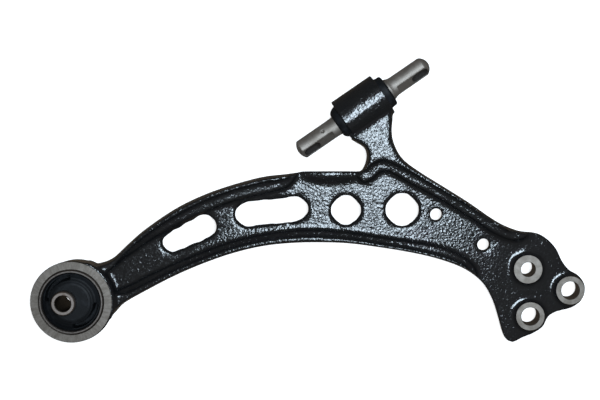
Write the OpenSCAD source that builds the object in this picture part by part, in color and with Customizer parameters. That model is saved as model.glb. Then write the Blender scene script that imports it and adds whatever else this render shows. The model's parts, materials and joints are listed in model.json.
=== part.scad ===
// Lower suspension control arm: a cast I-section arm with a vertical rear bush,
// a bar-pin front bush and a three-hole ball joint pad.
// The arm lies flat. The origin is on the axis of the rear bush sleeve, halfway up it.

/* [Casting] */
// Thickness of the web between the ribs
web_t = 9; // [7:0.5:11]
// Overall height of the two ribs and of the neck
rib_h = 28; // [24:1:32]
// Height of the step halfway down each rib wall
step_h = 19; // [16:1:21]
// How much narrower the casting is at the top of its ribs than at its middle, on each side
side_draft = 1.4; // [0.4:0.2:2]
// Thickness of the plate that carries the ball joint
pad_plate_t = 10; // [9.5:0.5:15]

/* [Rear eye and bush] */
// Distance from the sleeve axis to the centre of the eye
eye_offset = 6; // [4:0.5:7]
// Radius of the cast eye at its upper face
eye_r = 39.5; // [38:0.5:41]
// How much the eye narrows towards its lower face
eye_draft = 3; // [0:0.5:4]
// Height between the machined faces of the eye
eye_h = 40; // [36:1:44]
// Radius of the machined faces of the eye
eye_face_r = 38; // [36:0.5:38]
// Outer radius of the pressed-in steel shell
rear_shell_r = 29.8; // [28:0.1:31]
// Height of the shell
rear_shell_h = 42; // [38:1:46]
// Outer radius of the inner sleeve
sleeve_r = 11; // [10:0.5:12]
// Bore radius of the inner sleeve
sleeve_bore_r = 7.25; // [6:0.25:8]
// Length of the inner sleeve
sleeve_h = 58; // [52:1:64]

/* [Front eye and bar pin] */
// Centre of the front eye, along X
front_x = 276.5; // [272:0.5:280]
// Centre of the front eye, along Y
front_y = 179.5; // [177:0.5:183]
// Direction of the bar pin, from +X towards +Y
bar_angle = 34.5; // [32:0.5:36]
// Outer radius of the front eye
front_eye_r = 20.7; // [20:0.1:22]
// Length of the front eye
front_eye_l = 43.8; // [42:0.1:46]
// Outer radius of the pressed-in front shell
front_shell_r = 18; // [17:0.1:18.5]
// Radius of the bar pin where the rubber holds it
bar_core_r = 10.5; // [10:0.1:11]
// Radius of the bar pin outside the rubber
bar_r = 9.1; // [8.5:0.1:9.5]
// Overall length of the bar pin
bar_l = 145.5; // [142:0.5:150]
// Distance between the two slots of the bar pin
slot_pitch = 120; // [116:1:122]
// Overall length of a slot
slot_l = 16.5; // [14:0.5:18]
// Width of a slot
slot_w = 9.5; // [8:0.5:10.5]
// Thickness left between the machined flats
flat_t = 13.8; // [12:0.2:15]
// How far the flats face upwards, from facing level towards the ball joint
flat_tilt = 40; // [30:1:50]

/* [Ball joint pad] */
// Centre of the three holes, along X
pad_x = 444.7; // [443:0.1:446]
// Centre of the three holes, along Y
pad_y = 7.9; // [6:0.1:9]
// Radius of the circle that the holes lie on
pad_circle_r = 25.6; // [25:0.1:27]
// Radius of each machined spot face
pad_face_r = 13.5; // [12:0.5:13.5]
// Height between the spot faces, above and below
pad_h = 19; // [17:0.5:21]
// Radius of the hole nearest the neck
small_hole_r = 6.7; // [5:0.1:7]
// Radius of the other two holes
large_hole_r = 8.4; // [7:0.1:9]

/* [Hidden] */
$fn = 96;

face_step = 0.6;        // how far the machined faces of the eye stand above the raw casting
rear_shell_wall = 2.5;
front_shell_wall = 1.8;
bond_gap = 0.05;        // running gap where rubber meets a moving steel piece
curve_steps = 4;        // straight pieces in each span of a smooth outline
lip_l = 7.5;            // how far the front rubber stands out of its shell
rear_mouth_h = 16;      // half height of the rear rubber at the shell
rear_crown_h = 22;      // half height of the rear rubber at the sleeve
void_mid_r = 23;        // middle radius of the two kidney voids
void_w = 4.4;           // width of a kidney void
void_sweep = 84;        // angle that a kidney void covers
void_angle = 135;       // direction of the first kidney void
void_floor = 4;         // half height of the skin that closes each void halfway down
bracket_hole_r = 5.6;
inner_dome_r = 13;      // radius of the domed end of the bar nearer the rear eye
outer_dome_r = 10;      // radius of its other domed end
flat_run_out = 0.3;     // bar left round between its taper and its flats

// Smooth closed curve through a list of points
function spline_point(a, b, c, d, t) =
    0.5 * ((2 * b) + (c - a) * t + (2 * a - 5 * b + 4 * c - d) * t * t
           + (3 * b - a - 3 * c + d) * t * t * t);
function smooth(p, n = curve_steps) = [
    for (i = [0 : len(p) - 1], k = [0 : n - 1])
        spline_point(p[(i + len(p) - 1) % len(p)], p[i], p[(i + 1) % len(p)],
                     p[(i + 2) % len(p)], k / n)];

// Points along an arc of the circle c = [x, y, radius]
function arc(c, from, to, n = 16) = [
    for (i = [0 : n]) [c[0] + c[2] * cos(from + (to - from) * i / n),
                       c[1] + c[2] * sin(from + (to - from) * i / n)]];

// Outer edge of the casting, clockwise from the top of the rear eye
edge = [
    [8, 18], [16, 31], [31, 34], [43, 39], [56, 51], [72, 65], [98, 83], [121, 95], [147, 105],
    [181, 114.5], [205, 117.5], [226, 120], [250, 119], [267, 118], [275.5, 121], [280, 132],
    [278, 142], [267, 149], [260, 156], [270, 175], [293, 184], [303.5, 174], [303.2, 158],
    [305.5, 146], [313.5, 132], [330, 119.5], [351, 106.5], [375, 91.5], [396, 77], [409, 69.5],
    [424, 64], [438.5, 62.5], [448.5, 57.5], [457.5, 48], [463.5, 36], [470.5, 27.5], [478.5, 23],
    [484.3, 15.5], [485.2, 7], [481.5, -1.5], [472.5, -8], [457.5, -12], [450.3, -17.5],
    [446.3, -26], [436.5, -32.5], [426.5, -36.5], [419, -40.5], [412.5, -38.5], [408.5, -31],
    [404.5, -17], [399.5, -2], [391, 13.5], [379, 24.5], [364, 32.5], [341, 40], [316, 45.3],
    [291, 49.3], [265, 52.7], [240, 53.8], [212, 53.3], [184.5, 50.5], [156.5, 44], [129, 34.5],
    [101, 22.5], [74, 8.5], [53, -3.5], [44, -13], [32, -22], [14, -26]];

// Boundary of the recess between the ribs, at the crest of each rib.
// It runs out past the casting where there is no rib.
crest = [
    [40, 16], [43, 30], [60, 49], [79, 64.5], [98, 77], [125, 91.5], [153, 102.5], [181, 110],
    [204, 114], [214, 121], [224, 134], [262, 134], [270, 121], [277, 121], [284, 127],
    [292, 130.8], [301, 129.5], [319, 121], [347, 105], [375, 88.5], [403, 70.5], [416, 64.5],
    [424, 70], [432, 85], [500, 85], [505, -20], [450, -60], [402, -52], [381, -20], [380, 16],
    [374, 30], [362, 37.5], [344, 43.5], [318, 49], [292, 53.5], [264, 58], [227, 60.3], [190, 57.5],
    [153, 49], [116, 35], [79, 18.5], [52, 6]];

// Boundary of the same recess at the web
foot = [
    [40, 19], [44, 31], [62, 45], [82, 59], [110, 74], [139, 87], [162, 95], [190, 101.5],
    [207, 107], [216, 119], [226, 134], [256, 134], [268, 121], [276, 111], [284, 113],
    [292, 120], [301, 120.5], [320, 110], [348, 95], [377, 77.5], [400, 62.5], [418, 56.5],
    [431, 62], [438, 82], [500, 85], [505, -20], [450, -60], [402, -52], [388, -20], [385, 10],
    [381, 30], [368, 41.5], [346, 50.5], [320, 55], [292, 59], [264, 63.2], [227, 65.5], [190, 62.3],
    [153, 54], [115, 40], [78, 23.5], [53, 11.5]];

// Region of the thicker plate round the ball joint holes
pad_plate = [
    [411, 20], [414, 40], [428, 52], [444, 54], [470, 64], [500, 45], [505, -20], [470, -45],
    [440, -60], [412, -60], [390, -40], [396, -16], [409, 0]];

// One round-ended lightening slot: x, y and radius of each of its two ends
slots = [[[98.5, 53.5, 9.3], [128.5, 68.5, 11.3]], [[169, 80, 11.6], [214, 85, 11.8]]];
// Round lightening holes: x, y, radius
round_holes = [[261, 84, 14], [313.5, 84.4, 15.5]];
bracket_holes = [[345, 80], [389.5, 51.7]];
// Direction and bore radius of each ball joint hole
pad_holes = [[3.5, large_hole_r], [123.5, small_hole_r], [243.5, large_hole_r]];

// Moves each point of a clockwise outline inwards by d
function inset(p, d) = [
    for (i = [0 : len(p) - 1])
        let (before = p[(i + len(p) - 1) % len(p)], after = p[(i + 1) % len(p)],
             t = (after - before) / norm(after - before))
            p[i] + d * [t[1], -t[0]]];

module on_bar() {
    translate([front_x, front_y, 0]) rotate([0, 0, bar_angle]) rotate([0, 90, 0]) children();
}

// A flat region raised the same height above and below the middle
module slab(points, h, narrower = 0) {
    translate([0, 0, -h / 2]) linear_extrude(h) polygon(inset(smooth(points), narrower));
}

module disc(x, y, r, h) {
    translate([x, y, 0]) cylinder(r = r, h = h, center = true);
}

// Upright wedge-shaped slot: two round ends of different size and the straight sides that touch both
module slot_cut(a, b, h) {
    d = [b[0] - a[0], b[1] - a[1]];
    along = atan2(d[1], d[0]);
    lean = acos((a[2] - b[2]) / norm(d));
    translate([0, 0, -h / 2]) linear_extrude(h) polygon(concat(
        arc(b, along - lean, along + lean), arc(a, along + lean, along + 360 - lean)));
}

module casting_solid() {
    slab(edge, web_t);
    difference() {
        slab(edge, step_h, side_draft / 2);
        slab(foot, step_h + 2);
    }
    difference() {
        slab(edge, rib_h, side_draft);
        slab(crest, rib_h + 2);
    }
    intersection() {
        slab(edge, pad_plate_t);
        slab(pad_plate, pad_plate_t);
    }
    for (hole = pad_holes)
        disc(pad_x + pad_circle_r * cos(hole[0]), pad_y + pad_circle_r * sin(hole[0]), pad_face_r, pad_h);
    translate([eye_offset, 0, -eye_h / 2])
        cylinder(r1 = eye_face_r - eye_draft, r2 = eye_face_r, h = eye_h);
    translate([eye_offset + 1, 0, -eye_h / 2 + face_step])
        cylinder(r1 = eye_r - eye_draft, r2 = eye_r, h = eye_h - 2 * face_step);
    on_bar() cylinder(r = front_eye_r, h = front_eye_l, center = true);
}

module arm_casting() {
    tall = eye_h + 10;
    color("#1c1c1e") difference() {
        casting_solid();
        disc(eye_offset, 0, rear_shell_r, tall);
        on_bar() cylinder(r = front_shell_r, h = front_eye_l + 20, center = true);
        for (s = slots) slot_cut(s[0], s[1], tall);
        for (h = round_holes) disc(h[0], h[1], h[2], tall);
        for (h = bracket_holes) disc(h[0], h[1], bracket_hole_r, tall);
        for (hole = pad_holes)
            disc(pad_x + pad_circle_r * cos(hole[0]), pad_y + pad_circle_r * sin(hole[0]), hole[1], tall);
    }
}

module rear_bush_shell() {
    color("#8d8a86") difference() {
        disc(eye_offset, 0, rear_shell_r, rear_shell_h);
        disc(eye_offset, 0, rear_shell_r - rear_shell_wall, rear_shell_h + 2);
    }
}

module rear_bush_rubber() {
    r = rear_shell_r - rear_shell_wall;
    crown_r = eye_offset + sleeve_r + 1;
    half = [[0, rear_crown_h], [crown_r, rear_crown_h], [crown_r + 2, rear_crown_h - 1.5],
            [r - 1.5, rear_mouth_h + 1], [r, rear_mouth_h]];
    other_half = [for (i = [len(half) - 1 : -1 : 0]) [half[i][0], -half[i][1]]];
    color("#242426") difference() {
        translate([eye_offset, 0, 0]) rotate_extrude() polygon(concat(half, other_half));
        cylinder(r = sleeve_r + bond_gap, h = sleeve_h + 2, center = true);
        for (turn = [0, 180])
            translate([eye_offset, 0, -eye_h]) rotate([0, 0, void_angle + turn - void_sweep / 2])
                rotate_extrude(angle = void_sweep) translate([void_mid_r - void_w / 2, 0]) {
                    square([void_w, eye_h - void_floor]);
                    translate([0, eye_h + void_floor]) square([void_w, eye_h - void_floor]);
                }
    }
}

module rear_bush_sleeve() {
    color("#9a978f") difference() {
        cylinder(r = sleeve_r, h = sleeve_h, center = true);
        cylinder(r = sleeve_bore_r, h = sleeve_h + 2, center = true);
    }
}

module front_bush_shell() {
    color("#8d8a86") on_bar() difference() {
        cylinder(r = front_shell_r, h = front_eye_l, center = true);
        cylinder(r = front_shell_r - front_shell_wall, h = front_eye_l + 2, center = true);
    }
}

// Rubber round the bar pin: it fills the shell and bulges out past both of its ends
module front_bush_rubber() {
    inner = bar_core_r + bond_gap;
    outer = front_shell_r - front_shell_wall;
    end = front_eye_l / 2;
    half = [[inner, end + lip_l - 1.5], [outer - 3.2, end + lip_l], [outer - 1.4, end + lip_l - 1],
            [outer - 0.4, end + lip_l - 3], [outer - 0.3, end + 1.5], [outer, end - 1]];
    other_half = [for (i = [len(half) - 1 : -1 : 0]) [half[i][0], -half[i][1]]];
    color("#242426") on_bar() rotate_extrude() polygon(concat(half, other_half));
}

// Bar with a thicker middle and domed ends, two machined flats at each end and a slot through each pair of flats
module front_bar_pin() {
    core_half = front_eye_l / 2 + lip_l + 1.5;
    taper = 5;
    tip = bar_l / 2;
    half = [[0, tip], [bar_r, tip], [bar_r, core_half + taper],
            [bar_core_r - 0.9, core_half + 1.2], [bar_core_r, core_half]];
    other_half = [for (i = [len(half) - 1 : -1 : 0]) [half[i][0], -half[i][1]]];
    color("#a5a29a") on_bar() difference() {
        intersection() {
            rotate_extrude() polygon(concat(half, other_half));
            union() {
                translate([0, 0, -tip + inner_dome_r])
                    cylinder(r = 2 * bar_r, h = bar_l - inner_dome_r - outer_dome_r);
                translate([0, 0, -tip + inner_dome_r]) sphere(r = inner_dome_r);
                translate([0, 0, tip - outer_dome_r]) sphere(r = outer_dome_r);
            }
        }
        rotate([0, 0, 90 - flat_tilt]) for (s = [-1, 1]) {
            for (side = [-1, 1])
                translate([side * (flat_t / 2 + bar_r), 0, s * (core_half + taper + flat_run_out + bar_l / 2)])
                    cube([2 * bar_r, 3 * bar_r, bar_l], center = true);
            for (e = [-1, 1])
                translate([0, 0, s * slot_pitch / 2 + e * (slot_l - slot_w) / 2])
                    rotate([0, 90, 0]) cylinder(d = slot_w, h = 4 * bar_r, center = true);
            translate([0, 0, s * slot_pitch / 2])
                cube([4 * bar_r, slot_w, slot_l - slot_w], center = true);
        }
    }
}

arm_casting();
rear_bush_shell();
rear_bush_rubber();
rear_bush_sleeve();
front_bush_shell();
front_bush_rubber();
front_bar_pin();
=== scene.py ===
import json
import math
import bpy
from mathutils import Matrix, Vector, noise
from mathutils.kdtree import KDTree

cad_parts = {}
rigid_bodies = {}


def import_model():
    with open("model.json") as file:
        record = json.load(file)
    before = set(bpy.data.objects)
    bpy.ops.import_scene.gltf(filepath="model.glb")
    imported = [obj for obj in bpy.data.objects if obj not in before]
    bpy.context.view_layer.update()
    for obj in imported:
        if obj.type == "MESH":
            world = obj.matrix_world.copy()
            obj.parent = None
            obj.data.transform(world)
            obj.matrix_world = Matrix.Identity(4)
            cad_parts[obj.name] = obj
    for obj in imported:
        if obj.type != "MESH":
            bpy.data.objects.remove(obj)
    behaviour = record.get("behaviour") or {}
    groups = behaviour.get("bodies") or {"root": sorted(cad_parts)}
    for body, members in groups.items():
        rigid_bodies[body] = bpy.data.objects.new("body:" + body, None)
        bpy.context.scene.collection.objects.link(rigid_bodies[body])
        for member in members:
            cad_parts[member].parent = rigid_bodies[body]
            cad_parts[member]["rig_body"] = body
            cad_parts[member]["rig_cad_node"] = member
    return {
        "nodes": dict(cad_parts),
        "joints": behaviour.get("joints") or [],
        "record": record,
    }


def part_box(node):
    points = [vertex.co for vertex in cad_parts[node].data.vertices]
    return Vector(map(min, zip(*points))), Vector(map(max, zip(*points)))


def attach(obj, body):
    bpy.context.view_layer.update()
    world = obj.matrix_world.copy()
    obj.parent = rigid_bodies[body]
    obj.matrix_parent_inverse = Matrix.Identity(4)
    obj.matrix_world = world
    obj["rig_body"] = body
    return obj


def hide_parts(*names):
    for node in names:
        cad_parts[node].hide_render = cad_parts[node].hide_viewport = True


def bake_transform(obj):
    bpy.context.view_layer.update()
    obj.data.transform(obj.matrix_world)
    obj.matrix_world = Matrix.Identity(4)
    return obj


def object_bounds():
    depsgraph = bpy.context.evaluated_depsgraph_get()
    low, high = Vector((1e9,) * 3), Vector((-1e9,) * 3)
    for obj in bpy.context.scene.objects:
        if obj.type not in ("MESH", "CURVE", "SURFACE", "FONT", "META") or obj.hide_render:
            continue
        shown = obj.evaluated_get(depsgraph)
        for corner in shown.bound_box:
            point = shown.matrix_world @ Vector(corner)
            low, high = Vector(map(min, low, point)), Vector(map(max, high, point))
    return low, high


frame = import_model()
cadLow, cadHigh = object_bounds()
mounts = {m["name"]: m for m in frame["record"]["mounts"]}
joints = {j["name"]: j for j in frame["joints"]}
mm = 0.001


def middleOf(node):
    low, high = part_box(node)
    return (low + high) / 2


wholeMiddle = (cadLow + cadHigh) / 2
eyeMiddle = middleOf("rear_bush_shell")
sleeveMiddle = middleOf("rear_bush_sleeve")
barMiddle = Vector(joints["front_bush_twist"]["pos_m"])
barAxis = Vector(joints["front_bush_twist"]["axis"]).normalized()
barTurn = math.atan2(barAxis.y, barAxis.x)
eyePlace = Matrix.Translation((eyeMiddle.x, eyeMiddle.y, 0))
sleevePlace = Matrix.Translation((sleeveMiddle.x, sleeveMiddle.y, 0))
padHoles = ("ball_joint_hole_outer", "ball_joint_hole_neck", "ball_joint_hole_tail")
padMiddle = sum((Vector(mounts[n]["pos_m"]) for n in padHoles), Vector()) / 3
barPlace = (Matrix.Translation(barMiddle) @ Matrix.Rotation(barTurn, 4, "Z") @
            Matrix.Rotation(math.pi / 2, 4, "Y"))


def clearSelection():
    if bpy.context.object and bpy.context.object.mode != "OBJECT":
        bpy.ops.object.mode_set(mode="OBJECT")
    bpy.ops.object.select_all(action="DESELECT")


def pickUp(piece):
    clearSelection()
    piece.select_set(True)
    bpy.context.view_layer.objects.active = piece


def nameIt(piece, name):
    piece.name = name
    piece.data.name = name
    return piece


def freeze(piece):
    pickUp(piece)
    bpy.ops.object.transform_apply(location=True, rotation=True, scale=True)


def applyModifier(piece, kind, **settings):
    pickUp(piece)
    modifier = piece.modifiers.new(kind.lower(), kind)
    for key, value in settings.items():
        setattr(modifier, key, value)
    bpy.ops.object.modifier_apply(modifier=modifier.name)


def carve(piece, tool, operation="DIFFERENCE", solver="MANIFOLD"):
    applyModifier(piece, "BOOLEAN", operation=operation, solver=solver, object=tool)
    bpy.data.objects.remove(tool)


def joinTo(piece, others):
    clearSelection()
    for other in others:
        other.select_set(True)
    piece.select_set(True)
    bpy.context.view_layer.objects.active = piece
    bpy.ops.object.join()


def smoothEdges(piece, degrees=35):
    pickUp(piece)
    bpy.ops.object.shade_smooth_by_angle(angle=math.radians(degrees))


def coat(piece, *finishes):
    piece.data.materials.clear()
    for finish in finishes:
        piece.data.materials.append(finish)
    for face in piece.data.polygons:
        face.material_index = 0


def copyOfCad(node, name):
    clearSelection()
    original = frame["nodes"][node]
    original.select_set(True)
    bpy.context.view_layer.objects.active = original
    bpy.ops.object.duplicate()
    piece = nameIt(bpy.context.object, name)
    piece.parent = None
    del piece["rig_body"], piece["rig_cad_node"]
    piece.data.materials.clear()
    bpy.ops.object.mode_set(mode="EDIT")
    bpy.ops.mesh.select_all(action="SELECT")
    bpy.ops.mesh.remove_doubles(threshold=0.000002)
    bpy.ops.object.mode_set(mode="OBJECT")
    return piece


# A round solid: the first ring is filled and extruded up the outline, (radius, height) in mm
def turnSolid(name, outline, place=Matrix.Identity(4), steps=96):
    clearSelection()
    radius, height = outline[0]
    bpy.ops.mesh.primitive_circle_add(vertices=steps, radius=radius * mm, fill_type="NGON",
                                      location=(0, 0, height * mm))
    return turnOn(name, outline, place)


# A round tube: the outline comes back to where it began
def turnTube(name, outline, place=Matrix.Identity(4), steps=96):
    clearSelection()
    radius, height = outline[0]
    bpy.ops.mesh.primitive_circle_add(vertices=steps, radius=radius * mm, location=(0, 0, height * mm))
    return turnOn(name, outline + [outline[0]], place)


def turnOn(name, outline, place):
    piece = nameIt(bpy.context.object, name)
    freeze(piece)
    bpy.ops.object.mode_set(mode="EDIT")
    bpy.ops.mesh.select_mode(type="VERT")
    bpy.ops.mesh.select_all(action="SELECT")
    for (r0, h0), (r1, h1) in zip(outline, outline[1:]):
        bpy.ops.mesh.extrude_region_move(TRANSFORM_OT_translate={"value": (0, 0, (h1 - h0) * mm)})
        bpy.ops.transform.resize(value=(r1 / r0, r1 / r0, 1), center_override=(0, 0, h1 * mm))
    bpy.ops.mesh.select_all(action="SELECT")
    bpy.ops.mesh.remove_doubles(threshold=0.000001)
    bpy.ops.mesh.normals_make_consistent(inside=False)
    bpy.ops.object.mode_set(mode="OBJECT")
    piece.matrix_world = place
    freeze(piece)
    return piece


def blob(name, place, radii):
    clearSelection()
    bpy.ops.mesh.primitive_uv_sphere_add(segments=32, ring_count=16, radius=1,
                                         location=[p * mm for p in place], scale=[r * mm for r in radii])
    piece = nameIt(bpy.context.object, name)
    freeze(piece)
    return piece


def block(name, place, size, parent=Matrix.Identity(4)):
    clearSelection()
    bpy.ops.mesh.primitive_cube_add(size=1, location=[p * mm for p in place], scale=[s * mm for s in size])
    piece = nameIt(bpy.context.object, name)
    freeze(piece)
    piece.matrix_world = parent
    freeze(piece)
    return piece


def arcOutline(middle, radius, start, end, steps=6):
    return [(middle[0] + radius * math.cos(math.radians(start + (end - start) * i / steps)),
             middle[1] + radius * math.sin(math.radians(start + (end - start) * i / steps)))
            for i in range(steps + 1)]


# One side of a round piece with softened edges, from its lower face to its upper one
def roundedOutline(radius, half, edge):
    return [(radius - edge, -half), (radius, -half + edge), (radius, half - edge), (radius - edge, half)]


def tubeOutline(outer, inner, half, edge):
    return roundedOutline(outer, half, edge) + [(inner + edge, half), (inner, half - edge),
                                                (inner, -half + edge), (inner + edge, -half)]


# A value in a material's nodes: sums on it add Math nodes
class Wire:
    def __init__(self, tree, socket):
        self.tree, self.socket = tree, socket

    def maths(self, operation, first, second):
        node = self.tree.nodes.new("ShaderNodeMath")
        node.operation = operation
        for slot, value in zip(node.inputs, (first, second)):
            if isinstance(value, Wire):
                self.tree.links.new(value.socket, slot)
            else:
                slot.default_value = value
        return Wire(self.tree, node.outputs[0])

    def __add__(self, other):
        return self.maths("ADD", self, other)

    def __radd__(self, other):
        return self.maths("ADD", other, self)

    def __sub__(self, other):
        return self.maths("SUBTRACT", self, other)

    def __rsub__(self, other):
        return self.maths("SUBTRACT", other, self)

    def __mul__(self, other):
        return self.maths("MULTIPLY", self, other)

    def __rmul__(self, other):
        return self.maths("MULTIPLY", other, self)


class Finish:
    def __init__(self, name, **sockets):
        self.material = bpy.data.materials.new(name)
        self.material.use_nodes = True
        self.tree = self.material.node_tree
        self.shader = self.tree.nodes["Principled BSDF"]
        for key, value in sockets.items():
            self.shader.inputs[key.replace("_", " ")].default_value = value
        self.place = self.add("ShaderNodeTexCoord", output="Object")

    def add(self, kind, settings=None, values=None, output=0):
        node = self.tree.nodes.new(kind)
        for key, value in (settings or {}).items():
            setattr(node, key, value)
        for key, value in (values or {}).items():
            if isinstance(value, Wire):
                self.tree.links.new(value.socket, node.inputs[key])
            else:
                node.inputs[key].default_value = value
        return Wire(self.tree, node.outputs[output])

    def noise(self, scale, detail=2.0, roughness=0.5, at=None):
        return self.add("ShaderNodeTexNoise", None, {"Vector": at or self.place, "Scale": scale,
                                                     "Detail": detail, "Roughness": roughness})

    def between(self, value, low, high, outLow=0.0, outHigh=1.0):
        return self.add("ShaderNodeMapRange", {"interpolation_type": "SMOOTHSTEP"},
                        {"Value": value, "From Min": low, "From Max": high,
                         "To Min": outLow, "To Max": outHigh})

    def colours(self, factor, first, second):
        return self.add("ShaderNodeMix", {"data_type": "RGBA"}, {0: factor, 6: first, 7: second}, 2)

    def vector(self, operation, first, second=None, output=0):
        values = {0: first} if second is None else {0: first, 1: second}
        return self.add("ShaderNodeVectorMath", {"operation": operation}, values, output)

    def moved(self, place, turn=(0, 0, 0)):
        return self.add("ShaderNodeMapping", {"vector_type": "TEXTURE"},
                        {"Vector": self.place, "Location": place, "Rotation": turn})

    def wear(self, **links):
        for key, value in links.items():
            self.tree.links.new(value.socket, self.shader.inputs[key.replace("_", " ")])

    def rough(self, height, distance):
        self.wear(Normal=self.add("ShaderNodeBump", None, {"Height": height, "Distance": distance}))


paintSizes = {
    "grain": 430, "lumps": 95, "streaks": 260, "streakShrink": 0.3,
    "sparks": 400, "sparkFrom": 0.60, "sparkFull": 0.72,
    "height": 0.00040, "sparkShare": 0.35, "streakShare": 0.9, "lumpShare": 0.5,
    "roughness": 0.11, "patches": 520, "patchShare": 0.13,
    "calmReach": 0.035, "calmEnd": 0.100, "calmShare": 0.3, "housingSkin": (0.0212, 0.0226),
    "dark": (0.0045, 0.0052, 0.0065, 1), "pale": (0.009, 0.0092, 0.0095, 1),
}


# Gloss black over grit: drawn out along the front housing, and calmer round the pad
def castPaint():
    s = paintSizes
    f = Finish("castPaint", Roughness=0.3, IOR=1.45, Specular_IOR_Level=0.5)
    grain = f.noise(s["grain"], 1.0, 0.5)
    lumps = f.noise(s["lumps"], 2.0)
    along = f.moved(barMiddle, (0, 0, barTurn))
    streaks = f.noise(s["streaks"], 2.0, 0.6, at=f.vector("MULTIPLY", along, (s["streakShrink"], 1, 1)))
    acrossBar = f.vector("LENGTH", f.vector("MULTIPLY", along, (0, 1, 1)), output="Value")
    onHousing = f.between(acrossBar, s["housingSkin"][0], s["housingSkin"][1], 1.0, 0.0)
    fromPad = f.vector("LENGTH", f.vector("SUBTRACT", f.place, tuple(padMiddle)), output="Value")
    offPad = f.between(fromPad, s["calmReach"], s["calmEnd"], s["calmShare"], 1.0)
    sparks = f.between(f.noise(s["sparks"], 1.0), s["sparkFrom"], s["sparkFull"])
    height = ((grain + sparks * s["sparkShare"]) * (1 - onHousing * 0.5) * offPad +
              streaks * onHousing * s["streakShare"] + lumps * s["lumpShare"])
    f.rough(height, s["height"])
    patches = f.between(f.noise(s["patches"], 2.0), 0.42, 0.62)
    f.wear(Base_Color=f.colours(lumps, s["dark"], s["pale"]),
           Roughness=s["roughness"] + patches * s["patchShare"] * offPad)
    return f.material


# Two tones for each bare metal: the first where its pattern is low, the second where it is high
metalTones = {
    "iron": ((0.138, 0.122, 0.106, 1), (0.21, 0.189, 0.170, 1)),
    "shell": ((0.115, 0.103, 0.095, 1), (0.23, 0.207, 0.193, 1)),
    # the last tone on the next line is painted shade for the inside of the sleeve's bore
    "sleeve": ((0.245, 0.213, 0.195, 1), (0.15, 0.11, 0.088, 1)), "sleeveBore": (0.022, 0.020, 0.018, 1),
    # the last tone on the next line is painted shade for the walls of the bar's slots
    "bar": ((0.245, 0.220, 0.198, 1), (0.140, 0.122, 0.104, 1)), "barSlot": (0.075, 0.068, 0.064, 1),
}


# Turned faces: streaks run out from the middle of the rear eye
def bareIron():
    f = Finish("bareIron", Metallic=1.0, Roughness=0.42)
    centred = f.moved(eyeMiddle)
    flat = f.vector("NORMALIZE", f.vector("MULTIPLY", centred, (1, 1, 0)))
    streaks = f.noise(14, 3.0, 0.6, at=f.vector("ADD", flat, f.vector("MULTIPLY", centred, (9, 9, 9))))
    fine = f.noise(900, 3.0, 0.6)
    f.rough(streaks * 0.6 + fine * 0.4, 0.00006)
    f.wear(Base_Color=f.colours(f.between(streaks * 0.7 + fine * 0.3, 0.35, 0.65), *metalTones["iron"]),
           Roughness=0.38 + fine * 0.16)
    return f.material


def shellSteel():
    f = Finish("shellSteel", Metallic=1.0, Roughness=0.36)
    fine = f.noise(700, 3.0)
    f.rough(fine, 0.00004)
    f.wear(Base_Color=f.colours(fine, *metalTones["shell"]),
           Roughness=0.28 + fine * 0.2)
    return f.material


def sleeveSteel():
    f = Finish("sleeveSteel", Metallic=1.0, Roughness=0.4)
    fine = f.noise(800, 3.0)
    rust = f.between(f.noise(160, 3.0), 0.52, 0.75)
    off = f.vector("MULTIPLY", f.moved(sleeveMiddle), (1, 1, 0))
    # painted shade: the bore is darker than the end faces
    boreShadeMask = f.between(f.vector("LENGTH", off, output="Value"), 0.0073, 0.0078, 1.0, 0.0)
    f.rough(fine, 0.00005)
    face = f.colours(rust, *metalTones["sleeve"])
    f.wear(Base_Color=f.colours(boreShadeMask, face, metalTones["sleeveBore"]),
           Roughness=0.34 + fine * 0.2)
    return f.material


def barSteel():
    s = frontSizes
    f = Finish("barSteel", Metallic=0.85, Roughness=0.5)
    along = f.add("ShaderNodeMapping", {"vector_type": "TEXTURE"},
                  {"Vector": f.place, "Location": barMiddle, "Rotation": (0, 0, barTurn), "Scale": (6, 1, 1)})
    drawn = f.noise(520, 3.0, 0.6, at=along)
    fine = f.noise(1100, 2.0)
    stains = f.between(f.noise(70, 3.0, 0.6), 0.45, 0.75)
    # painted shade: the slots' walls are darker than the outside of the bar
    turned = f.moved(barMiddle, (math.radians(90 - s["flatTilt"]), 0, barTurn))
    slotShadeMask = 1.0
    for axis, middle, reach in ((0, s["slotPitch"] / 2, s["slotLength"] / 2), (1, 0, s["slotWidth"] / 2),
                                (2, 0, s["flat"] / 2 - 0.3)):
        part = f.add("ShaderNodeSeparateXYZ", None, {"Vector": turned}, axis)
        away = f.add("ShaderNodeMath", {"operation": "ABSOLUTE"}, {0: part}) - middle * mm
        away = f.add("ShaderNodeMath", {"operation": "ABSOLUTE"}, {0: away})
        slotShadeMask = slotShadeMask * f.between(away, (reach + 0.1) * mm, (reach + 0.4) * mm, 1.0, 0.0)
    f.rough(drawn * 0.5 + fine * 0.5, 0.00005)
    outside = f.colours(stains * 0.7, *metalTones["bar"])
    f.wear(Base_Color=f.colours(slotShadeMask, outside, metalTones["barSlot"]), Roughness=0.52 + fine * 0.14)
    return f.material


rubberTones = {"clean": (0.005, 0.0057, 0.0068, 1), "dusty": (0.013, 0.0145, 0.017, 1)}


def bushRubber():
    f = Finish("bushRubber", Roughness=0.5, Specular_IOR_Level=0.13)
    fine = f.noise(900, 3.0)
    dust = f.between(f.noise(120, 3.0), 0.5, 0.8)
    f.rough(fine * 0.6 + f.noise(200, 2.0) * 0.6, 0.00008)
    f.wear(Base_Color=f.colours(dust, rubberTones["clean"], rubberTones["dusty"]),
           Roughness=0.42 + fine * 0.2)
    return f.material


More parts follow.
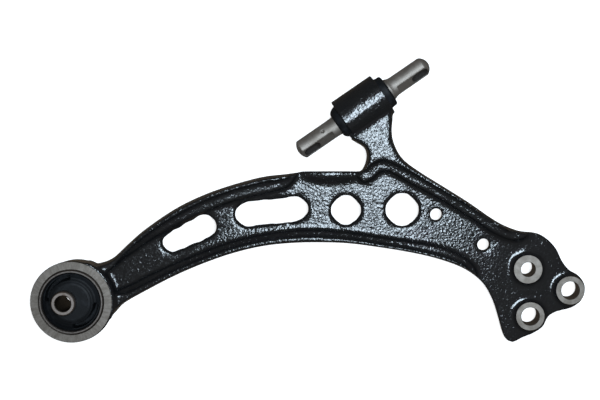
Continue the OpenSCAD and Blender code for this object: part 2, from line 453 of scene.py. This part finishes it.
studio = {
    "lens": 77.04, "height": 1.1957, "beside": (-0.0085, 0.10295), "tilt": -4.87,
    "softbox": (0.320, 0.29, 1.2), "softboxWide": 0.26, "softboxDeep": 0.72, "softboxRadiance": 33.0,
    "softboxTone": (0.74, 0.88, 1.0), "ceiling": (0.2, 0.1, 1.7), "ceilingSize": 3.0, "ceilingRadiance": 0.12,
    "surround": (0.10, 0.082, 0.062, 1), "floorSize": 30, "floorGlow": 0.75, "floorTone": (0.8, 0.8, 0.8, 1),
}


def panel(name, place, wide, deep, radiance, tone=(1, 1, 1)):
    clearSelection()
    bpy.ops.object.light_add(type="AREA", location=place)
    lamp = bpy.context.object
    lamp.name = name
    lamp.data.shape = "RECTANGLE"
    lamp.data.size = wide
    lamp.data.size_y = deep
    lamp.data.color = tone
    lamp.data.energy = radiance * math.pi * wide * deep
    lamp.visible_camera = False


def buildStudio():
    s = studio
    clearSelection()
    above = (wholeMiddle.x + s["beside"][0], wholeMiddle.y + s["beside"][1], s["height"])
    bpy.ops.object.camera_add(location=above, rotation=(math.radians(s["tilt"]), 0, 0))
    camera = bpy.context.object
    camera.data.lens = s["lens"]
    camera.data.sensor_width = 36
    camera.data.clip_end = 50
    bpy.context.scene.camera = camera
    panel("softbox", s["softbox"], s["softboxWide"], s["softboxDeep"], s["softboxRadiance"], s["softboxTone"])
    panel("ceiling", s["ceiling"], s["ceilingSize"], s["ceilingSize"], s["ceilingRadiance"])
    world = bpy.data.worlds.new("surround")
    world.use_nodes = True
    world.node_tree.nodes["Background"].inputs[0].default_value = s["surround"]
    bpy.context.scene.world = world
    clearSelection()
    bpy.ops.mesh.primitive_plane_add(size=s["floorSize"], location=(0, 0, cadLow.z))
    floor = nameIt(bpy.context.object, "floor")
    freeze(floor)
    paper = Finish("paper", Base_Color=s["floorTone"], Roughness=0.9, Specular_IOR_Level=0.1,
                   Emission_Color=(1, 1, 1, 1), Emission_Strength=s["floorGlow"])
    coat(floor, paper.material)
    floor.visible_glossy = False  # the outlines stay dark against the floor
    bpy.context.scene.view_settings.view_transform = "Standard"
    print("studio ready")


castingSizes = {
    "grid": 1.5, "relax": 9, "relaxShare": 0.5, "webHalf": 4.5,
    "eyeFace": 37.9, "eyeDraft": 3.0, "eyeHalf": 20.0, "eyeEdge": 0.35, "eyeBore": 29.8, "eyeChamfer": 1.0,
    "eyePlug": (31, 19), "eyeShrink": 0.972, "eyeShrinkFrom": 34, "eyeLevel": 0.94, "eyeLevelReach": 44,
    "eyeLevelFrom": 17, "eyeSide": 50, "armSweep": (-25, 70),
    "housing": 20.7, "housingHalf": 21.9, "housingEdge": 0.6, "housingBore": 18.0, "boreReach": 30,
    "housingPlug": (19, 21.5),
    "padFace": 13.4, "padHalf": 9.5, "padEdge": 0.25, "padChamfer": 0.5, "bracketChamfer": 0.3,
    "padFrom": 385, "plateHalf": 5.0, "plateDeep": 7.5, "bossReach": 19, "wallClear": 1.5, "stepRelax": 25,
    "lipPlace": (247, 118.5, 2.5), "lipRadii": (30, 8.8, 7.0), "lipEdge": 120.3,
    "pocket": ((29, 21), (37, 26), (57, 42), (78, 56), (97, 36), (70, 20), (48, 9), (38, 2)),
    "pocketWall": 39.8,
    "rimHalf": 3.5, "rimMargin": 3, "rimReach": 5.0, "rimRelax": 16,
    "flash": 0.9, "flashHalf": 2.2, "flashReach": 0.4, "lump": 0.6, "lumpReach": 1.3, "lumpFrom": 200,
    "lumpScale": 70, "lumpShare": 0.12,
}


def selectFaces(piece, wanted):
    pickUp(piece)
    bpy.ops.object.mode_set(mode="EDIT")
    bpy.ops.mesh.select_mode(type="FACE")
    bpy.ops.mesh.select_all(action="DESELECT")
    bpy.ops.object.mode_set(mode="OBJECT")
    for face in piece.data.polygons:
        face.select = wanted(face.center, face.normal)


def giveFinish(piece, slot, wanted):
    selectFaces(piece, wanted)
    bpy.ops.object.mode_set(mode="EDIT")
    piece.active_material_index = slot
    bpy.ops.object.material_slot_assign()
    bpy.ops.object.mode_set(mode="OBJECT")


def buildCasting(paint, iron):
    s = castingSizes
    cast = copyOfCad("arm_casting", "armCasting")
    for side in (-1, 1):
        carve(cast, pocketEnd(side))
    # a soft lip along the upper edge, cut straight at its outside
    lip = blob("lip", s["lipPlace"], s["lipRadii"])
    bpy.ops.object.mode_set(mode="EDIT")
    bpy.ops.mesh.select_all(action="SELECT")
    bpy.ops.mesh.bisect(plane_co=(0, s["lipEdge"] * mm, 0), plane_no=(0, 1, 0), use_fill=True,
                        clear_outer=True)
    bpy.ops.object.mode_set(mode="OBJECT")
    plugs = [lip]
    for name, (radius, half), place in (("eyePlug", s["eyePlug"], eyePlace),
                                        ("housingPlug", s["housingPlug"], barPlace)):
        plugs.append(turnSolid(name, [(radius, -half), (radius, half)], place))
    joinTo(cast, plugs)
    applyModifier(cast, "REMESH", mode="VOXEL", voxel_size=s["grid"] * mm)
    # the pad is level with the web, and the eye is trimmed close to its machined face away from the arm
    squeeze(cast, lambda p: p.x > s["padFrom"] * mm and
            s["webHalf"] + 0.1 < abs(p.z) / mm < s["plateHalf"] + 0.4,
            (1, 1, s["webHalf"] / s["plateHalf"]), (0, 0, 0))
    squeeze(cast, lambda p: offArm(p) and fromEye(p) > s["eyeShrinkFrom"] * mm,
            (s["eyeShrink"], s["eyeShrink"], 1), eyeMiddle)
    squeeze(cast, lambda p: fromEye(p) < s["eyeLevelReach"] * mm and abs(p.z) > s["eyeLevelFrom"] * mm,
            (1, 1, s["eyeLevel"]), (0, 0, 0))
    applyModifier(cast, "SMOOTH", factor=s["relaxShare"], iterations=s["relax"])
    softenPlaces(cast)
    print("casting rough:", len(cast.data.polygons), "faces")
    # machined faces stand on the rough casting, and the bores go through both
    low, top, half, edge = s["eyeFace"] - s["eyeDraft"], s["eyeFace"], s["eyeHalf"], s["eyeEdge"]
    added = turnSolid("eyeDisc", [(low - edge, -half), (low, -half + edge), (top, half - edge),
                                  (top - edge, half)], eyePlace, 128)
    holes = []
    for name in padHoles:
        spot = Matrix.Translation(mounts[name]["pos_m"])
        joinTo(added, [turnSolid("padDisc", roundedOutline(s["padFace"], s["padHalf"], s["padEdge"]), spot)])
        holes.append(hole(mounts[name]["dims"]["r_mm"], s["padHalf"], spot, s["padChamfer"]))
    for name in ("bracket_hole_inner", "bracket_hole_outer"):
        spot = Matrix.Translation(mounts[name]["pos_m"])
        holes.append(hole(mounts[name]["dims"]["r_mm"], s["webHalf"], spot, s["bracketChamfer"]))
    housing = roundedOutline(s["housing"], s["housingHalf"], s["housingEdge"])
    joinTo(added, [turnSolid("housing", housing, barPlace, 128)])
    carve(cast, added, "UNION")
    bores = hole(s["eyeBore"], s["eyeHalf"], eyePlace, s["eyeChamfer"])
    radius, reach = s["housingBore"], s["boreReach"]
    holes.append(turnSolid("housingBore", [(radius, -reach), (radius, reach)], barPlace, 128))
    joinTo(bores, holes)
    carve(cast, bores)
    coat(cast, paint, iron)
    pads = [Vector(mounts[name]["pos_m"]) for name in padHoles]

    # True on the faces and chamfers that a cutter has bared
    def machined(centre, normal):
        if fromEye(centre) < (s["eyeFace"] + 0.05) * mm:
            return abs(centre.z) > (s["eyeHalf"] - s["eyeChamfer"] - 0.1) * mm
        fromPad = min((centre - pad).xy.length for pad in pads)
        onFace = abs(centre.z) > (s["padHalf"] - 0.3) * mm
        inHole = abs(normal.z) < 0.2 and fromPad < 9 * mm
        return fromPad < (s["padFace"] + 0.02) * mm and (onFace or inHole)

    giveFinish(cast, 1, machined)
    smoothEdges(cast, 40)
    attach(cast, "arm")
    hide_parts("arm_casting")
    print("casting done:", sum(len(f.vertices) - 2 for f in cast.data.polygons), "triangles")


def squeeze(piece, wanted, share, centre):
    pickUp(piece)
    bpy.ops.object.mode_set(mode="EDIT")
    bpy.ops.mesh.select_mode(type="VERT")
    bpy.ops.mesh.select_all(action="DESELECT")
    bpy.ops.object.mode_set(mode="OBJECT")
    for vertex in piece.data.vertices:
        vertex.select = wanted(vertex.co)
    bpy.ops.object.mode_set(mode="EDIT")
    bpy.ops.transform.resize(value=share, center_override=centre)
    bpy.ops.object.mode_set(mode="OBJECT")


def squeezeOut(piece, wanted, distance):
    squeeze(piece, wanted, (1, 1, 1), (0, 0, 0))
    bpy.ops.object.mode_set(mode="EDIT")
    bpy.ops.transform.shrink_fatten(value=distance * mm)
    bpy.ops.object.mode_set(mode="OBJECT")


def fromEye(p):
    return (p - eyeMiddle).xy.length


# True on the side of the rear eye that the arm doesn't leave from
def offArm(p):
    s = castingSizes
    turn = math.degrees(math.atan2(p.y - eyeMiddle.y, p.x - eyeMiddle.x))
    return p.x < s["eyeSide"] * mm and not s["armSweep"][0] < turn < s["armSweep"][1]


# Cuts the pocket beside the rear eye back to a wall that runs round the eye
def pocketEnd(side):
    s = castingSizes
    clearSelection()
    bpy.ops.mesh.primitive_circle_add(vertices=len(s["pocket"]), radius=1, fill_type="NGON")
    tool = nameIt(bpy.context.object, "pocketEnd")
    for vertex, (x, y) in zip(tool.data.vertices, s["pocket"]):
        vertex.co = (x * mm, y * mm, s["webHalf"] * mm * side)
    bpy.ops.object.mode_set(mode="EDIT")
    bpy.ops.mesh.select_all(action="SELECT")
    bpy.ops.mesh.extrude_region_move(TRANSFORM_OT_translate={"value": (0, 0, 0.03 * side)})
    bpy.ops.mesh.select_all(action="SELECT")
    bpy.ops.mesh.normals_make_consistent(inside=False)
    bpy.ops.object.mode_set(mode="OBJECT")
    carve(tool, turnSolid("eyeWall", [(s["pocketWall"], -60), (s["pocketWall"], 60)], eyePlace))
    return tool


# Rounds the rims of the openings in the web, and fades out the step between the web and the pad
def softenPlaces(cast):
    s = castingSizes
    openings = [b["box_m"] for b in frame["record"]["physics"]["openings"] if "gap" not in b["name"]]
    margin = s["rimMargin"] * mm

    def nearOpening(p):
        return any(low[0] - margin < p.x < high[0] + margin and low[1] - margin < p.y < high[1] + margin
                   for low, high in openings)

    walls = [v.co for v in cast.data.vertices if abs(v.normal.z) < 0.4 and abs(v.co.z) < s["rimHalf"] * mm]
    wallTree, rimTree = treeOf(walls), treeOf([p for p in walls if nearOpening(p)])

    def fromRim(p):
        return rimTree.find((p.x, p.y, 0))[2]

    def onParting(p):
        return abs(p.z) < s["flashHalf"] * mm

    # the parting line stands proud and uneven round each opening
    squeezeOut(cast, lambda p: onParting(p) and fromRim(p) < s["flashReach"] * mm, s["flash"])
    squeezeOut(cast, lambda p: p.x > s["lumpFrom"] * mm and onParting(p) and
               fromRim(p) < s["lumpReach"] * mm and
               noise.noise(p * s["lumpScale"]) > s["lumpShare"], s["lump"])
    chosen = {"rims": [], "padStep": []}
    for vertex in cast.data.vertices:
        p = vertex.co
        if abs(p.z) > 0.4 * mm and fromRim(p) < s["rimReach"] * mm:
            chosen["rims"].append(vertex.index)
        offBoss = all((p - Vector(mounts[n]["pos_m"])).xy.length > s["bossReach"] * mm for n in padHoles)
        onPlate = p.x > s["padFrom"] * mm and abs(p.z) < s["plateDeep"] * mm
        if onPlate and offBoss and wallTree.find((p.x, p.y, 0))[2] > s["wallClear"] * mm:
            chosen["padStep"].append(vertex.index)
    for name, times in (("rims", s["rimRelax"]), ("padStep", s["stepRelax"])):
        group = cast.vertex_groups.new(name=name)
        group.add(chosen[name], 1.0, "REPLACE")
        applyModifier(cast, "SMOOTH", factor=0.5, iterations=times, vertex_group=name)
        cast.vertex_groups.clear()


def treeOf(points):
    tree = KDTree(len(points))
    for i, p in enumerate(points):
        tree.insert((p.x, p.y, 0), i)
    tree.balance()
    return tree


# A drill for a round hole, with a chamfer at each mouth
def hole(radius, half, place, chamfer):
    below = [(radius + chamfer + 2, -half - 2), (radius + chamfer, -half), (radius, -half + chamfer)]
    return turnSolid("drill", below + [(r, -h) for r, h in reversed(below)], place)


rearSizes = {
    "shell": 29.8, "shellWall": 2.5, "shellHalf": 21.0, "shellRound": 0.7,
    "sleeve": 11.0, "sleeveBore": 7.25, "sleeveHalf": 29.0, "sleeveEdge": 0.8,
    "face": ((25.4, 16.9), (23.2, 18.6), (22.7, 19.2), (22.1, 19.1), (20.6, 20.2), (20.1, 20.7), (19.5, 20.6),
             (18.2, 21.6), (16.8, 22.0), (9.0, 22.0)),
    "voidMiddle": 23.0, "voidWide": 4.4, "voidSweep": 84, "voidTurns": (135, 315),
    "voidHeight": 19, "voidDeep": 30,
    "gap": 0.05, "grid": 0.55, "relax": 3, "wedges": 8,
}


def buildRearBush(shellFinish, sleeveFinish, rubberFinish):
    s = rearSizes
    inner = s["shell"] - s["shellWall"]
    shell = turnTube("rearShell", tubeOutline(s["shell"], inner, s["shellHalf"], s["shellRound"]),
                     eyePlace, 128)
    coat(shell, shellFinish)
    smoothEdges(shell)
    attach(shell, "arm")
    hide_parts("rear_bush_shell")
    outline = tubeOutline(s["sleeve"], s["sleeveBore"], s["sleeveHalf"], s["sleeveEdge"])
    sleeve = turnTube("rearSleeve", outline, sleevePlace)
    coat(sleeve, sleeveFinish)
    smoothEdges(sleeve)
    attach(sleeve, "rear_sleeve")
    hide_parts("rear_bush_sleeve")
    half = [(inner - s["gap"], 15.6), (inner - 0.4, 16.0), *s["face"]]
    outline = [(r, -h) for r, h in reversed(half)] + half
    rubber = turnSolid("rearRubber", outline, eyePlace, 128)
    hug = s["sleeve"] + s["gap"]
    carve(rubber, turnSolid("sleeveHole", [(hug, -32), (hug, 32)], sleevePlace))
    for turn in s["voidTurns"]:
        for side in (-1, 1):
            carve(rubber, kidney(turn, side))
    applyModifier(rubber, "REMESH", mode="VOXEL", voxel_size=s["grid"] * mm)
    applyModifier(rubber, "SMOOTH", factor=0.5, iterations=s["relax"])
    coat(rubber, rubberFinish)
    print("rear rubber:", len(rubber.data.polygons), "faces")
    step = 2 * math.pi / s["wedges"]
    for i in range(s["wedges"]):
        wedge = rubber.copy()
        wedge.data = rubber.data.copy()
        bpy.context.collection.objects.link(wedge)
        nameIt(wedge, "rearRubber_%d" % (i + 1))
        direction = i * step
        for side in (-1, 1):
            edge = direction + side * step / 2
            pickUp(wedge)
            bpy.ops.object.mode_set(mode="EDIT")
            bpy.ops.mesh.select_all(action="SELECT")
            across = (-side * math.sin(edge), side * math.cos(edge), 0)
            bpy.ops.mesh.bisect(plane_co=(0, 0, 0), plane_no=across, use_fill=True, clear_outer=True,
                                threshold=0.0000001)
            bpy.ops.object.mode_set(mode="OBJECT")
        smoothEdges(wedge, 50)
        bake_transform(wedge)
        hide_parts("rear_bush_rubber")
    bpy.data.objects.remove(rubber)
    print("rear bush done")


# A kidney-shaped void: a thin upright slice spun round the middle of the bush
def kidney(turn, side):
    s = rearSizes
    clearSelection()
    bpy.ops.mesh.primitive_cube_add(size=1, location=(s["voidMiddle"] * mm, 0, side * s["voidHeight"] * mm),
                                    scale=(s["voidWide"] * mm, 0.4 * mm, s["voidDeep"] * mm))
    tool = nameIt(bpy.context.object, "void")
    freeze(tool)
    bpy.ops.object.mode_set(mode="EDIT")
    bpy.ops.mesh.select_all(action="DESELECT")
    bpy.ops.object.mode_set(mode="OBJECT")
    for face in tool.data.polygons:
        face.select = face.normal.y < -0.9
    bpy.ops.object.mode_set(mode="EDIT")
    bpy.ops.mesh.spin(steps=28, angle=math.radians(s["voidSweep"]), center=(0, 0, 0), axis=(0, 0, 1))
    bpy.ops.mesh.select_all(action="SELECT")
    bpy.ops.mesh.remove_doubles(threshold=0.000001)
    bpy.ops.mesh.normals_make_consistent(inside=False)
    bpy.ops.object.mode_set(mode="OBJECT")
    tool.matrix_world = eyePlace @ Matrix.Rotation(math.radians(turn + s["voidSweep"] / 2), 4, "Z")
    freeze(tool)
    return tool


frontSizes = {
    "shell": 18.0, "shellWall": 1.8, "shellHalf": 21.9, "shellEdge": 0.3,
    "outerFlank": ((15.85, 1.2), (15.5, 2.9)), "outerRoll": (13.2, 4.7, 2.3),
    "outerFace": ((12.6, 6.9), (11.4, 6.3), (10.55, 5.6)),
    "innerFace": ((15.9, 1.0), (15.4, 2.6), (14.4, 4.6), (13.0, 6.2), (11.4, 7.2), (9.9, 7.4), (9.7, 5.0),
                  (10.4, 1.0)),
    "core": 10.5, "innerCoreHalf": 27.0, "coreHalf": 30.9, "neck": ((9.75, 0.9), (9.35, 2.4), (9.1, 5.0)),
    "bar": 9.1, "barHalf": 72.75, "innerDome": 13.0, "outerDome": 10.0,
    "flat": 13.8, "flatTilt": 40, "flatFrom": 36.4, "mill": (20, 40, 80),
    "slotPitch": 120, "slotLength": 16.5, "slotWidth": 9.5, "slotCut": 20,
    "punchPlace": (-9.2, 3.4, -43.5), "punchRadii": (2.2, 1.7, 1.7), "grid": 0.42, "relax": 4,
}


def buildFrontBush(shellFinish, rubberFinish, barFinish):
    s = frontSizes
    inner = s["shell"] - s["shellWall"]
    shell = turnTube("frontShell", tubeOutline(s["shell"], inner, s["shellHalf"], s["shellEdge"]), barPlace)
    coat(shell, shellFinish)
    smoothEdges(shell)
    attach(shell, "arm")
    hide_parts("front_bush_shell")
    end = s["shellHalf"]

    def proud(points):
        return [(r, end + h) for r, h in points]

    seat = [(inner - 0.02, end - 1)]
    middle, rise, roll = s["outerRoll"]
    outer = seat + proud(s["outerFlank"]) + arcOutline((middle, end + rise), roll, 0, 80) + \
        proud(s["outerFace"])
    inside = seat + proud(s["innerFace"])
    outline = outer + [(r, -h) for r, h in reversed(inside)]
    rubber = turnTube("frontRubber", outline, barPlace)
    coat(rubber, rubberFinish)
    smoothEdges(rubber, 50)
    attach(rubber, "arm")
    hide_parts("front_bush_rubber")
    bar = buildBar()
    coat(bar, barFinish)
    smoothEdges(bar, 60)
    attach(bar, "bar")
    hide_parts("front_bar_pin")
    print("front bush done")


# Half of the bar's outline: thicker in the rubber, then a soft neck, a round shank and a domed end
def barEnd(coreHalf, dome):
    s = frontSizes
    start = math.degrees(math.acos(s["bar"] / dome))
    return [(s["core"], coreHalf - 0.4), (s["core"] - 0.3, coreHalf)] + \
        [(r, coreHalf + h) for r, h in s["neck"]] + arcOutline((0, s["barHalf"] - dome), dome, start, 87, 7)


def buildBar():
    s = frontSizes
    outline = barEnd(s["coreHalf"], s["outerDome"])
    outline = [(r, -h) for r, h in reversed(barEnd(s["innerCoreHalf"], s["innerDome"]))] + outline
    bar = turnSolid("barPin", outline)
    turned = Matrix.Rotation(math.radians(90 - s["flatTilt"]), 4, "Z")
    thick, wide, long = s["mill"]
    for side in (-1, 1):
        for end in (-1, 1):
            spot = (side * (s["flat"] / 2 + thick / 2), 0, (s["flatFrom"] + long / 2) * end)
            carve(bar, block("mill", spot, (thick, wide, long), turned), solver="EXACT")
    reach = (s["slotLength"] - s["slotWidth"]) / 2
    drill = [(s["slotWidth"] / 2, -s["slotCut"]), (s["slotWidth"] / 2, s["slotCut"])]
    for end in (-1, 1):
        middle = end * s["slotPitch"] / 2
        for side in (-1, 1):
            across = Matrix.Translation((0, 0, (middle + side * reach) * mm)) @ \
                Matrix.Rotation(math.pi / 2, 4, "Y")
            carve(bar, turnSolid("slot", drill, turned @ across, 48), solver="EXACT")
        between = block("slotMiddle", (0, 0, middle), (2 * s["slotCut"], s["slotWidth"], 2 * reach), turned)
        carve(bar, between, solver="EXACT")
    # a punch mark beside the inner end of the rubber
    carve(bar, blob("punch", s["punchPlace"], s["punchRadii"]), solver="EXACT")
    applyModifier(bar, "REMESH", mode="VOXEL", voxel_size=s["grid"] * mm)
    applyModifier(bar, "SMOOTH", factor=0.5, iterations=s["relax"])
    bar.matrix_world = barPlace
    freeze(bar)
    print("bar pin:", len(bar.data.polygons), "faces")
    return bar


buildStudio()
buildCasting(castPaint(), bareIron())
rubberFinish = bushRubber()
steel = shellSteel()
buildRearBush(steel, sleeveSteel(), rubberFinish)
buildFrontBush(steel, rubberFinish, barSteel())
